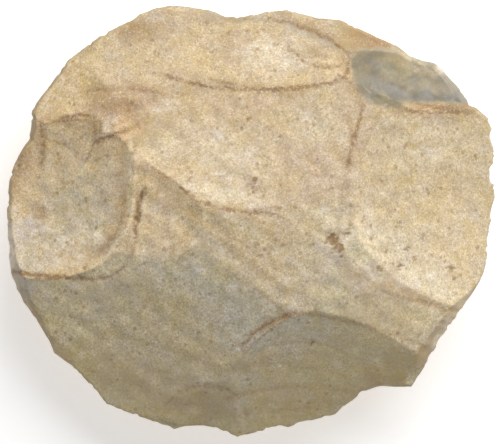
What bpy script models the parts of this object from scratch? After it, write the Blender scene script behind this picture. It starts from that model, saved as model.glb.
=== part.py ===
"""Stone hand axe: a nearly round flint tool flaked on both faces, lying on its underside.

The stone starts as a lens-shaped blank inside a scalloped outline. Ellipsoidal cutters are
then taken out of it, one for each flake that was struck off, so that neighbouring scars meet
in ridges. A small flat under the middle of the lower face is where it rests.

Scars are laid out in the unit stone: x and y run from -1 to 1 across the half length and the
half width, and the rise from 0 at the edge plane to 1 at the full height of that face. The
unit stone is stretched to the real sizes, so a change of size carries every scar with it.
+X is the long way, +Y the far side when the stone is seen from above, +Z up.
"""

from math import atan2, degrees, hypot, radians

import bmesh
import bpy
from mathutils import Matrix, Vector

# Driving sizes in metres
LENGTH = 0.112
WIDTH = 0.0995
UPPER_HEIGHT = 0.021
LOWER_HEIGHT = 0.017

# The resting flat, as a share of the lower height
REST_SHARE = 0.87

# How square the blank's shoulders are: the height falls with this power of the radius
BLANK_POWER = 4.0

# How much each face is domed after flaking: heights near the edge grow by this share, and
# heights near the top keep their place
DOMING_SHARE = 0.55

# Faceting of the blank and of the cutters
BLANK_SEGMENTS = 96
BLANK_RINGS = 20
LARGE_CUTTER_LEVEL = 5
SMALL_CUTTER_LEVEL = 4
LARGE_FROM_SHARE = 0.15
WELD_DISTANCE = 0.0001
FLAT_ENOUGH_DEG = 0.7

# Colour and finish of the weathered flint
PATINA_COLOUR = (0.58, 0.49, 0.33, 1.0)
PATINA_ROUGHNESS = 0.72

# Corners of the outline: bearing in degrees, reach in shares of the half stone, how far the
# edge to the next corner bulges (hollows are negative), height of the edge in shares of the
# upper height
OUTLINE_CORNERS = (
    (24, 1.086, 0.006, 0.029),
    (31, 1.050, 0.000, 0.029),
    (44, 1.050, 0.000, 0.024),
    (48, 1.010, -0.006, 0.024),
    (54, 1.010, -0.012, 0.019),
    (68, 1.000, -0.022, 0.014),
    (83, 0.998, -0.020, 0.005),
    (96, 0.950, 0.016, -0.005),
    (112, 1.060, -0.003, -0.010),
    (135, 1.050, -0.009, 0.000),
    (150, 1.030, -0.010, 0.014),
    (158, 0.980, 0.007, 0.014),
    (170, 1.000, 0.000, 0.014),
    (182, 0.988, 0.000, 0.019),
    (191, 1.000, 0.004, 0.033),
    (202, 0.995, -0.018, 0.029),
    (217, 1.000, -0.028, 0.014),
    (235, 1.025, -0.012, 0.019),
    (252, 1.000, -0.042, 0.048),
    (267, 1.000, 0.000, 0.071),
    (276, 0.950, 0.009, 0.057),
    (288, 0.970, -0.004, 0.014),
    (299, 0.910, -0.011, 0.048),
    (306, 0.930, 0.000, 0.081),
    (311, 1.000, -0.009, 0.100),
    (328, 0.940, 0.000, 0.162),
    (347, 0.988, -0.030, 0.124),
)

# Flake scars. Each row gives the seat (x, y, rise) in the unit stone, the bearing that the
# scar faces, how steeply it falls that way, and its half sizes along, across and deep
UPPER_SCARS = {
    "far_band": (0.049, 0.885, 0.050, 91, 35, 1.16, 1.18, 1.10),
    "far_left": (-0.514, 0.811, 0.071, 110, 40, 1.10, 1.20, 1.00),
    "far_spall": (0.261, 0.738, 0.171, 84, 34, 0.24, 0.34, 0.35),
    "far_edge": (0.400, 0.903, 0.038, 66, 44, 0.80, 1.60, 0.90),
    "crown": (0.049, 0.600, 0.319, 96, 32, 1.49, 1.70, 1.50),
    "crown_right": (0.294, -0.034, 0.876, 52, 16, 1.60, 1.60, 0.90),
    "right_hollow": (0.971, 0.067, 0.031, 10, 33, 1.28, 1.60, 1.30),
    "fresh_chip": (0.653, 0.646, 0.081, 78, 17, 0.27, 0.43, 0.42),
    "near_slope": (-0.735, -0.586, 0.071, 232, 38, 2.60, 3.00, 2.00),
    "ridge_strip": (0.155, -0.126, 0.919, 226, 22, 1.20, 1.60, 0.80),
    "ridge_notch": (-0.424, 0.103, 0.590, 205, 34, 0.46, 0.50, 0.42),
    "near_hollow": (0.294, -0.825, 0.076, 282, 46, 1.50, 1.52, 1.40),
    "near_right": (0.837, -0.448, 0.248, 335, 40, 2.00, 2.60, 1.50),
    "near_spall": (-0.143, -0.931, 0.067, 265, 40, 0.60, 0.55, 0.50),
    "left_pit": (-0.833, 0.315, 0.090, 188, 22, 0.49, 0.42, 0.42),
    "left_hollow": (-0.947, 0.149, 0.067, 182, 8, 0.63, 0.76, 0.90),
    "stained_facet": (-0.531, 0.568, 0.329, 162, 30, 0.74, 0.27, 0.50),
    "left_corner": (-0.816, 0.572, 0.062, 142, 38, 0.80, 0.80, 0.60),
}
LOWER_SCARS = {
    "under_right": (0.920, 0.300, 0.050, 14, 34, 2.00, 1.05, 1.10),
    "under_far_right": (0.440, 0.830, 0.060, 58, 40, 1.20, 0.70, 1.00),
    "under_far": (-0.160, 0.930, 0.050, 92, 35, 1.90, 1.20, 1.20),
    "under_far_left": (-0.740, 0.600, 0.060, 146, 38, 1.10, 0.90, 1.10),
    "under_left": (-0.960, 0.050, 0.040, 188, 36, 2.20, 1.25, 1.20),
    "under_near_left": (-0.760, -0.560, 0.050, 224, 42, 1.00, 0.60, 0.80),
    "under_near": (-0.330, -0.880, 0.040, 252, 37, 2.00, 1.10, 1.20),
    "under_near_right": (0.280, -0.900, 0.000, 282, 44, 1.30, 0.80, 1.10),
    "under_corner": (0.780, -0.520, -0.100, 322, 42, 2.20, 1.25, 1.10),
    "spall_right": (0.980, -0.120, 0.000, 352, 30, 0.50, 0.40, 0.50),
    "spall_far": (-0.500, 0.840, 0.030, 120, 30, 0.45, 0.40, 0.45),
    "spall_near": (-0.580, -0.760, 0.030, 232, 30, 0.50, 0.45, 0.50),
    "spall_foot": (0.020, -0.950, 0.000, 270, 34, 0.45, 0.35, 0.40),
}


def clear_scene():
    """Remove every object that the scene already holds."""
    for item in list(bpy.data.objects):
        bpy.data.objects.remove(item)


def collection(name):
    """Return a new collection linked under the scene."""
    group = bpy.data.collections.new(name)
    bpy.context.scene.collection.children.link(group)
    return group


def outline_at(bearing):
    """Reach and edge height where the outline meets this bearing of the unit stone.

    Between two corners both run straight with the bearing, and the reach gains a parabola
    that is zero at the corners and equals the bulge halfway.
    """
    count = len(OUTLINE_CORNERS)
    for index in range(count):
        start, reach, bulge, level = OUTLINE_CORNERS[index]
        end, next_reach, _, next_level = OUTLINE_CORNERS[(index + 1) % count]
        span = (end - start) % 360
        share = ((bearing - start) % 360) / span
        if share <= 1.0:
            break
    edge_reach = reach + (next_reach - reach) * share + bulge * 4.0 * share * (1.0 - share)
    edge_level = level + (next_level - level) * share
    return edge_reach, edge_level * UPPER_HEIGHT


def blank(name, group):
    """Lens-shaped blank: a sphere's mesh moved onto the outline.

    A vertex whose height angle is a lies at radius cos(a) of the outline. Each face rises as
    1 - radius ** power, and blends to the wavy height of the edge at the outline itself.
    """
    mesh_builder = bmesh.new()
    bmesh.ops.create_uvsphere(
        mesh_builder, u_segments=BLANK_SEGMENTS, v_segments=BLANK_RINGS, radius=1.0
    )
    for vertex in mesh_builder.verts:
        x, y, z = vertex.co
        radius = min(hypot(x, y), 1.0)
        reach, level = outline_at(degrees(atan2(y, x)) % 360)
        drop = radius**BLANK_POWER
        full = UPPER_HEIGHT if z > 0.0 else -LOWER_HEIGHT
        vertex.co.x = x * reach * LENGTH / 2
        vertex.co.y = y * reach * WIDTH / 2
        vertex.co.z = full * (1.0 - drop) + level * drop
    bmesh.ops.triangulate(mesh_builder, faces=mesh_builder.faces)
    return finished_object(name, mesh_builder, group)


def finished_object(name, mesh_builder, group):
    """Turn a mesh being built into a named object of a collection."""
    bmesh.ops.recalc_face_normals(mesh_builder, faces=mesh_builder.faces)
    mesh = bpy.data.meshes.new(name)
    mesh_builder.to_mesh(mesh)
    mesh_builder.free()
    item = bpy.data.objects.new(name, mesh)
    group.objects.link(item)
    return item


def flake_cutter(name, scar, face_height, group):
    """Ellipsoid whose lowest shell is the scar of one flake.

    Its lowest point sits on the seat. It is tipped by the dip about the seat, turned to the
    bearing that the scar faces, then stretched from the unit stone to the real sizes.
    """
    x, y, rise, facing, dip, along, across, deep = scar
    level = LARGE_CUTTER_LEVEL if along * across > LARGE_FROM_SHARE else SMALL_CUTTER_LEVEL
    placing = (
        Matrix.Diagonal((LENGTH / 2, WIDTH / 2, face_height, 1.0))
        @ Matrix.Translation((x, y, rise))
        @ Matrix.Rotation(radians(facing), 4, "Z")
        @ Matrix.Rotation(radians(dip), 4, "Y")
        @ Matrix.Translation((0.0, 0.0, deep))
        @ Matrix.Diagonal((along, across, deep, 1.0))
    )
    mesh_builder = bmesh.new()
    bmesh.ops.create_icosphere(mesh_builder, subdivisions=level, radius=1.0, matrix=placing)
    return finished_object(name, mesh_builder, group)


def resting_cutter(name, group):
    """Block whose top face is the plane of the resting flat."""
    block_size = 3.0 * LENGTH
    mesh_builder = bmesh.new()
    bmesh.ops.create_cube(mesh_builder, size=block_size)
    top = -LOWER_HEIGHT * REST_SHARE
    bmesh.ops.translate(
        mesh_builder, verts=mesh_builder.verts, vec=Vector((0.0, 0.0, top - block_size / 2))
    )
    return finished_object(name, mesh_builder, group)


def cut(stone, cutters):
    """Take every cutter out of the stone and keep the result as its mesh."""
    for cutter in cutters:
        step = stone.modifiers.new(cutter.name, "BOOLEAN")
        step.operation = "DIFFERENCE"
        step.solver = "EXACT"
        step.object = cutter
        cutter.hide_render = True
        cutter.display_type = "WIRE"
    depsgraph = bpy.context.evaluated_depsgraph_get()
    result = bpy.data.meshes.new_from_object(stone.evaluated_get(depsgraph))
    stone.modifiers.clear()
    stone.data = result


def domed(height):
    """Height after doming: a share t of the face's full height becomes t * (1 + d * (1 - t)).

    This only raises heights in order, so the ridges keep their places seen from above.
    """
    full = UPPER_HEIGHT if height > 0.0 else LOWER_HEIGHT
    share = abs(height) / full
    return height * (1.0 + DOMING_SHARE * (1.0 - share))


def clean_and_place(stone):
    """Weld slivers left by the cuts, dome both faces, and rest the stone over the origin."""
    mesh_builder = bmesh.new()
    mesh_builder.from_mesh(stone.data)
    bmesh.ops.remove_doubles(mesh_builder, verts=mesh_builder.verts, dist=WELD_DISTANCE)
    bmesh.ops.dissolve_degenerate(
        mesh_builder, edges=mesh_builder.edges, dist=WELD_DISTANCE
    )
    bmesh.ops.dissolve_limit(
        mesh_builder,
        angle_limit=radians(FLAT_ENOUGH_DEG),
        verts=mesh_builder.verts,
        edges=mesh_builder.edges,
    )
    bmesh.ops.triangulate(mesh_builder, faces=mesh_builder.faces)
    bmesh.ops.recalc_face_normals(mesh_builder, faces=mesh_builder.faces)
    for vertex in mesh_builder.verts:
        vertex.co.z = domed(vertex.co.z)
    xs = [vertex.co.x for vertex in mesh_builder.verts]
    ys = [vertex.co.y for vertex in mesh_builder.verts]
    zs = [vertex.co.z for vertex in mesh_builder.verts]
    middle = Vector(((min(xs) + max(xs)) / 2, (min(ys) + max(ys)) / 2, min(zs)))
    bmesh.ops.translate(mesh_builder, verts=mesh_builder.verts, vec=-middle)
    mesh_builder.to_mesh(stone.data)
    mesh_builder.free()


def patina():
    """Weathered flint: dull, pale buff."""
    material = bpy.data.materials.new("patinated_flint")
    material.use_nodes = True
    shader = material.node_tree.nodes["Principled BSDF"]
    shader.inputs["Base Color"].default_value = PATINA_COLOUR
    shader.inputs["Roughness"].default_value = PATINA_ROUGHNESS
    shader.inputs["Metallic"].default_value = 0.0
    return material


def main():
    clear_scene()
    parts = collection("stone_hand_axe")
    tools = collection("cutters")
    stone = blank("hand_axe", parts)
    cutters = [flake_cutter(name, scar, UPPER_HEIGHT, tools) for name, scar in UPPER_SCARS.items()]
    for name, scar in LOWER_SCARS.items():
        cutters.append(flake_cutter(name, scar, -LOWER_HEIGHT, tools))
    cutters.append(resting_cutter("resting_flat", tools))
    cut(stone, cutters)
    clean_and_place(stone)
    stone.data.materials.clear()
    stone.data.materials.append(patina())


main()
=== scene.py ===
"""Looks of a flint hand axe lying on its underside: the finely carved stone and its patina."""

import math

import bpy
import numpy as np
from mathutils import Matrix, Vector


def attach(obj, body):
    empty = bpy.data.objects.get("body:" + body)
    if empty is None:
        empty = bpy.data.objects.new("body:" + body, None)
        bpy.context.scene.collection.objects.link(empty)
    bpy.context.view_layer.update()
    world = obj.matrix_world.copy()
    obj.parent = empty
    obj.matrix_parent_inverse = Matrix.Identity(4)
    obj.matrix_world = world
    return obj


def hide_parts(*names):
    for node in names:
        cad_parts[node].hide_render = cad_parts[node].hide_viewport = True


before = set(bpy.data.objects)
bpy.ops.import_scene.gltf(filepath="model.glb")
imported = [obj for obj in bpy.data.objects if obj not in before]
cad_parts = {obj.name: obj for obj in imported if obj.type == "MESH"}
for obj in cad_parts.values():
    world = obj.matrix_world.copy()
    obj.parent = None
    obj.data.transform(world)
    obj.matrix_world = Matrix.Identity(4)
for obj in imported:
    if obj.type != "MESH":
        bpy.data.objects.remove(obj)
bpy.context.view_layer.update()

MM = 0.001

# Sizes of the stone, as in the solid
LENGTH = 0.112
WIDTH = 0.0995
UPPER_HEIGHT = 0.021
LOWER_HEIGHT = 0.017
REST_SHARE = 0.87
BLANK_POWER = 4.0
DOMING = 0.55

# The photo's frame: its middle in pixels and the pixels to the half length and half width
PHOTO_MIDDLE = (250.0, 222.5)
PHOTO_HALF = (245.0, 217.5)
PHOTO_WIDTH = 500

# Corners of the outline: bearing in degrees, reach in shares of the half stone, bulge of the
# edge to the next corner, height of the edge in metres
OUTLINE_CORNERS = (
    (24, 1.086, 0.006, 0.0006),
    (31, 1.050, 0.000, 0.0006),
    (44, 1.050, 0.000, 0.0005),
    (48, 1.010, -0.006, 0.0005),
    (54, 1.010, -0.012, 0.0004),
    (68, 1.000, -0.022, 0.0003),
    (83, 0.998, -0.020, 0.0001),
    (96, 0.950, 0.016, -0.0001),
    (112, 1.060, -0.003, -0.0002),
    (135, 1.050, -0.009, 0.0000),
    (150, 1.030, -0.010, 0.0003),
    (158, 0.980, 0.007, 0.0003),
    (170, 1.000, 0.000, 0.0003),
    (182, 0.988, 0.000, 0.0004),
    (191, 1.000, 0.004, 0.0007),
    (202, 0.995, -0.018, 0.0006),
    (217, 1.000, -0.028, 0.0003),
    (235, 1.025, -0.012, 0.0004),
    (252, 1.000, -0.042, 0.0010),
    (267, 1.000, 0.000, 0.0015),
    (276, 0.956, 0.009, 0.0012),
    (288, 0.980, -0.004, 0.0003),
    (299, 0.910, -0.011, 0.0010),
    (306, 0.930, 0.000, 0.0017),
    (311, 1.000, -0.009, 0.0021),
    (328, 0.938, -0.008, 0.0034),
    (347, 0.985, -0.014, 0.0026),
)

# Flake scars in the unit stone: seat x, y and rise, bearing faced, dip, half sizes along,
# across and deep, then the patina that the scar carries
UPPER_SCARS = (
    ("far_band", 0.049, 0.885, 0.050, 91, 35, 1.16, 1.18, 1.10, "cream"),
    ("far_left", -0.514, 0.811, 0.071, 110, 40, 1.10, 1.20, 1.00, "cream"),
    ("far_spall", 0.261, 0.738, 0.171, 84, 34, 0.24, 0.34, 0.35, "cream"),
    ("far_edge", 0.400, 0.903, 0.038, 66, 44, 0.80, 1.60, 0.90, "olive"),
    ("crown", 0.049, 0.600, 0.319, 96, 32, 1.49, 1.70, 1.50, "buff"),
    ("crown_right", 0.294, -0.034, 0.876, 52, 16, 1.60, 1.60, 0.90, "pale"),
    ("right_hollow", 0.971, 0.067, 0.031, 10, 33, 1.28, 1.60, 1.30, "sand"),
    ("fresh_chip", 0.653, 0.646, 0.081, 78, 17, 0.27, 0.43, 0.42, "cream"),
    ("near_slope", -0.735, -0.586, 0.071, 232, 38, 2.60, 3.00, 2.00, "olive"),
    ("ridge_strip", 0.155, -0.126, 0.919, 226, 22, 1.20, 1.60, 0.80, "pale"),
    ("ridge_notch", -0.424, 0.103, 0.590, 205, 34, 0.46, 0.50, 0.42, "tan"),
    ("near_hollow", 0.284, -0.825, 0.076, 282, 46, 1.50, 1.58, 1.40, "dark_olive"),
    ("near_right", 0.837, -0.448, 0.248, 335, 40, 2.00, 2.60, 1.50, "olive"),
    ("near_spall", -0.143, -0.931, 0.067, 265, 40, 0.60, 0.55, 0.50, "dark_olive"),
    ("left_pit", -0.833, 0.315, 0.090, 188, 22, 0.49, 0.42, 0.42, "tan"),
    ("left_hollow", -0.947, 0.149, 0.067, 182, 8, 0.63, 0.76, 0.90, "tan"),
    ("stained_facet", -0.531, 0.568, 0.329, 162, 30, 0.74, 0.27, 0.50, "russet"),
    ("left_corner", -0.816, 0.572, 0.062, 142, 38, 0.80, 0.80, 0.60, "tan"),
)
LOWER_SCARS = (
    ("under_right", 0.920, 0.300, 0.050, 14, 34, 2.00, 1.05, 1.10, "sand"),
    ("under_far_right", 0.440, 0.830, 0.060, 58, 40, 1.20, 0.70, 1.00, "buff"),
    ("under_far", -0.160, 0.930, 0.050, 92, 35, 1.90, 1.20, 1.20, "buff"),
    ("under_far_left", -0.740, 0.600, 0.060, 146, 38, 1.10, 0.90, 1.10, "sand"),
    ("under_left", -0.960, 0.050, 0.040, 188, 36, 2.20, 1.25, 1.20, "buff"),
    ("under_near_left", -0.760, -0.560, 0.050, 224, 42, 1.00, 0.60, 0.80, "pale"),
    ("under_near", -0.330, -0.880, 0.040, 252, 37, 2.00, 1.10, 1.20, "buff"),
    ("under_near_right", 0.280, -0.900, 0.000, 282, 44, 1.30, 0.80, 1.10, "sand"),
    ("under_corner", 0.780, -0.520, -0.100, 322, 42, 2.20, 1.25, 1.10, "buff"),
    ("spall_right", 0.980, -0.120, 0.000, 352, 30, 0.50, 0.40, 0.50, "buff"),
    ("spall_far", -0.500, 0.840, 0.030, 120, 30, 0.45, 0.40, 0.45, "pale"),
    ("spall_near", -0.580, -0.760, 0.030, 232, 30, 0.50, 0.45, 0.50, "buff"),
    ("spall_foot", 0.020, -0.950, 0.000, 270, 34, 0.45, 0.35, 0.40, "sand"),
)

# Patinas, as linear colours
PATINAS = {
    "cream": (0.670, 0.508, 0.300),
    "buff": (0.625, 0.476, 0.290),
    "pale": (0.665, 0.518, 0.328),
    "sand": (0.678, 0.534, 0.330),
    "tan": (0.745, 0.550, 0.305),
    "olive": (0.575, 0.485, 0.302),
    "dark_olive": (0.520, 0.438, 0.258),
    "brown": (0.400, 0.300, 0.170),
    "russet": (0.640, 0.445, 0.258),
}

# Where ridges are worn round: place in photo pixels, reach in pixels, softness in millimetres
WORN_PLACES = (
    (300, 200, 50, 0.45), (183, 38, 34, 0.40), (335, 262, 26, 0.25), (290, 245, 40, 0.40),
    (240, 278, 55, 0.55), (165, 252, 28, 0.35), (310, 296, 20, 0.25), (165, 400, 30, 0.20),
    (50, 178, 40, 0.30), (195, 386, 34, 0.25), (238, 402, 30, 0.30),
)

# Ridges that carry a brown line: place in photo pixels, reach in pixels, strength
LINED_PLACES = (
    (172, 84, 34, 0.35), (235, 88, 40, 0.90), (300, 90, 40, 1.00), (345, 75, 24, 0.70),
    (352, 140, 30, 0.70), (222, 208, 34, 0.95), (255, 212, 20, 0.60), (175, 182, 26, 0.75),
    (262, 322, 34, 1.00), (300, 312, 26, 0.60), (345, 320, 30, 0.45), (66, 119, 34, 1.00),
    (96, 130, 16, 0.70), (40, 278, 30, 0.70), (410, 300, 44, 0.35), (430, 114, 44, 0.75),
    (352, 75, 20, 0.60), (140, 205, 30, 0.70), (120, 134, 22, 0.80), (320, 66, 22, 0.45),
)

# Marks on the patina by kind: place in photo pixels, half length and half width in pixels,
# bearing of the long way in degrees, strength. Slate and glint marks make the fresh flint
# darker and paler, and light and dark ones the patina.
# Most light marks, and a few pale, dark, slate and glint marks, are painted light and shade.
MARKS = {
    "brown": (
        (128, 106, 34, 12, 8, 0.25), (98, 96, 16, 8, 0, 0.35), (128, 90, 46, 4, -4, 0.40),
        (140, 34, 26, 12, 10, 0.55), (230, 48, 26, 8, 80, 0.35), (225, 20, 26, 5, 5, 0.35),
        (20, 165, 32, 10, 72, 0.65), (40, 214, 9, 5, 70, 0.50), (124, 185, 40, 7, 84, 0.30),
        (40, 275, 27, 2.2, -4, 0.75), (104, 248, 18, 5, 40, 0.45), (108, 276, 22, 3, 8, 0.40),
        (280, 243, 22, 9, -60, 0.30), (352, 140, 30, 3, 105, 0.45), (270, 322, 24, 5, 25, 0.50),
        (60, 350, 26, 7, -60, 0.30), (362, 42, 30, 8, -22, 0.55), (128, 375, 34, 16, -30, 0.18),
        (300, 400, 60, 14, 5, 0.14), (385, 372, 26, 18, 20, 0.22), (66, 120, 34, 2.5, 4, 0.50),
        (42, 146, 22, 5, 88, 0.55), (425, 117, 46, 4, -3, 0.45), (390, 297, 34, 5, -18, 0.25),
        (138, 213, 26, 2.6, 74, 0.60), (118, 136, 24, 2.6, 22, 0.60), (352, 88, 22, 6, -70, 0.40),
        (300, 180, 60, 34, 0, 0.08), (250, 264, 60, 4, -38, 0.30), (236, 240, 50, 3, -32, 0.25),
        (325, 36, 54, 5, -24, 0.60), (374, 43, 34, 5, -14, 0.85), (60, 100, 20, 5, 60, 0.25),
        (452, 110, 26, 2.6, -3, 0.60), (300, 150, 26, 10, -40, 0.14), (450, 180, 30, 16, 70, 0.12),
        (438, 108, 36, 5, -3, 0.80), (374, 47, 26, 5, 0, 0.90), (374, 36, 34, 8, -22, 0.55),
        (374, 34, 36, 9, -22, 0.95), (200, 402, 42, 15, 0, 0.28), (132, 28, 15, 6, 18, 0.70),
        (232, 52, 26, 18, 0, 0.10), (122, 108, 24, 11, -20, 0.22), (420, 299, 42, 4, -26, 0.30),
        (180, 330, 60, 20, -30, 0.10),
    ),
    "pale": (
        (160, 111, 20, 7, 20, 0.40), (100, 234, 15, 6, 70, 0.80), (60, 232, 40, 16, 5, 0.40),
        (330, 214, 18, 13, 0, 0.45), (270, 56, 36, 18, 0, 0.40), (362, 262, 40, 9, -55, 0.50),
        (425, 288, 40, 13, -22, 0.50), (225, 160, 50, 26, -10, 0.30), (220, 194, 44, 9, -15, 0.50),
        (165, 150, 24, 10, 40, 0.35), (60, 264, 44, 5, 0, 0.30), (430, 150, 34, 22, 0, 0.25),
        (128, 176, 30, 5.0, 90, 0.20), (90, 228, 22, 13, 60, 0.32), (110, 128, 14, 5, 60, 0.40),
        # The pale marks at (13, 246) and (451, 321) on this line and at (357, 240) further down
        # are painted light on walls that face away from the key light.
        (13, 246, 40, 7, 82, 0.50), (451, 321, 38, 6, 55, 0.50), (190, 262, 60, 26, -22, 0.22),
        (200, 228, 24, 4, 70, 0.35), (165, 215, 26, 22, 0, 0.25), (264, 240, 50, 6, -35, 0.35),
        (112, 178, 24, 20, 0, 0.32), (441, 72, 8, 4, -40, 0.85), (62, 92, 18, 12, 30, 0.30),
        (60, 250, 46, 12, 0, 0.25), (357, 240, 24, 20, 0, 0.25), (398, 262, 66, 30, -22, 0.22),
        (315, 130, 30, 22, 0, 0.25), (420, 67, 28, 9, -28, 0.45), (398, 300, 50, 3, -20, 0.30),
    ),
    "cool": (
        (205, 284, 66, 15, -20, 0.60), (250, 332, 44, 16, -20, 0.30), (66, 150, 22, 14, 0, 0.15),
        (305, 172, 30, 14, -20, 0.15), (90, 205, 24, 16, 0, 0.18), (225, 250, 60, 5, -36, 0.30),
        (92, 204, 30, 22, -60, 0.40), (262, 322, 60, 28, 0, 0.45), (315, 290, 36, 40, 0, 0.35),
        (20, 240, 24, 16, 80, 0.50), (22, 276, 28, 20, 0, 0.60), (62, 192, 30, 34, 0, 0.25),
        (232, 388, 34, 20, 0, 0.30), (24, 250, 30, 26, 0, 0.35), (230, 18, 36, 5, -4, 0.40),
        (310, 35, 42, 6, -26, 0.55), (82, 200, 46, 44, 0, 0.30), (352, 245, 76, 26, 0, 0.30),
        (246, 310, 50, 24, 0, 0.25),
    ),
    "rosy": (
        (315, 170, 34, 16, -30, 0.35), (245, 105, 44, 14, 0, 0.30), (24, 178, 26, 10, 70, 0.40),
        (350, 274, 30, 10, -45, 0.45), (128, 106, 36, 14, 10, 0.90), (118, 108, 22, 14, 0, 0.70),
        (190, 175, 36, 16, -20, 0.30), (378, 282, 32, 9, -34, 0.70), (405, 290, 52, 9, -28, 0.50),
        (395, 322, 60, 18, -22, 0.22),
    ),
    "straw": (
        (117, 267, 26, 9, 22, 0.75), (240, 414, 16, 3, 100, 0.30), (132, 182, 46, 2.0, 90, 0.90),
        (119, 242, 20, 2.0, 55, 0.90), (80, 174, 26, 1.8, 48, 0.65), (203, 228, 24, 1.6, 80, 0.40),
        (98, 140, 22, 1.6, 88, 0.55),
    ),
    # light: mostly painted light on walls and slopes that face away from the key light, such as
    # the rim walls, the left hollow's wall, the wedge below it and the shaded side of the right
    # hollow's ridge
    "light": (
        (451, 321, 44, 7, 55, 0.95), (15, 252, 46, 12, 82, 0.95), (112, 176, 28, 30, 0, 0.95),
        (190, 275, 64, 28, -22, 0.50), (64, 92, 26, 18, 30, 0.40), (300, 245, 36, 18, 0, 0.22),
        (130, 322, 64, 26, 0, 0.32), (320, 360, 56, 24, 0, 0.30), (435, 285, 50, 14, -20, 0.20),
        (125, 190, 52, 8, 88, 0.50), (115, 160, 30, 22, 0, 0.35), (180, 262, 50, 20, -24, 0.35),
        (300, 372, 70, 34, 0, 0.22), (190, 330, 90, 34, 0, 0.22), (374, 40, 34, 10, -22, 0.25),
        (357, 240, 26, 22, 0, 0.85), (113, 271, 28, 9, 22, 1.00), (62, 312, 34, 22, -60, 0.60),
        (276, 330, 44, 36, 0, 0.45), (315, 292, 30, 34, 0, 0.35), (108, 160, 30, 40, 0, 0.60),
        (146, 203, 20, 24, 0, 0.45), (456, 240, 36, 26, 0, 0.40), (232, 388, 34, 20, 0, 0.40),
        (165, 268, 50, 12, -8, 0.60), (441, 320, 26, 24, -40, 0.60), (275, 345, 30, 24, 0, 0.40),
        (352, 332, 56, 9, -16, 0.70), (125, 203, 42, 24, 0, 0.35), (400, 322, 70, 16, -24, 0.30),
        (250, 318, 54, 22, 0, 0.35), (205, 290, 60, 24, -16, 0.25),
    ),
    "dark": (
        (160, 388, 60, 22, -10, 0.30), (205, 408, 40, 18, 0, 0.25), (150, 60, 60, 18, 10, 0.10),
        (80, 226, 40, 14, 0, 0.30), (150, 240, 26, 16, 0, 0.45), (62, 238, 32, 14, 0, 0.45),
        (398, 166, 28, 50, 0, 0.30), (190, 24, 44, 14, 0, 0.30), (230, 54, 26, 18, 0, 0.30),
        (162, 246, 34, 9, 0, 0.45), (147, 129, 22, 18, 0, 0.40), (62, 240, 26, 12, 0, 0.50),
        # The first dark mark on this line, along the far edge at (230, 18), is painted shade on
        # the edge's bevel.
        (230, 18, 36, 5, -4, 0.90), (374, 36, 34, 9, -22, 0.90), (310, 35, 42, 6, -26, 0.60),
        (350, 311, 50, 5, -14, 0.30),
    ),
    "slate": (
        (438, 99, 34, 5, -6, 0.70), (366, 82, 32, 20, -66, 0.40), (398, 88, 50, 14, -14, 0.15),
        (412, 54, 18, 4, -28, 0.40), (450, 90, 20, 6, -54, 0.35), (412, 97, 52, 8, -8, 0.55),
        # The slate mark at (388, 92) is painted shade over the chip's lit floor.
        (388, 92, 22, 6, -20, 0.30),
    ),
    "glint": (
        # The glint at (386, 102) is painted light over the shade of the chip's lower wall.
        (386, 102, 18, 8, -22, 0.30), (412, 64, 28, 9, -22, 0.80),
    ),
}

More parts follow.
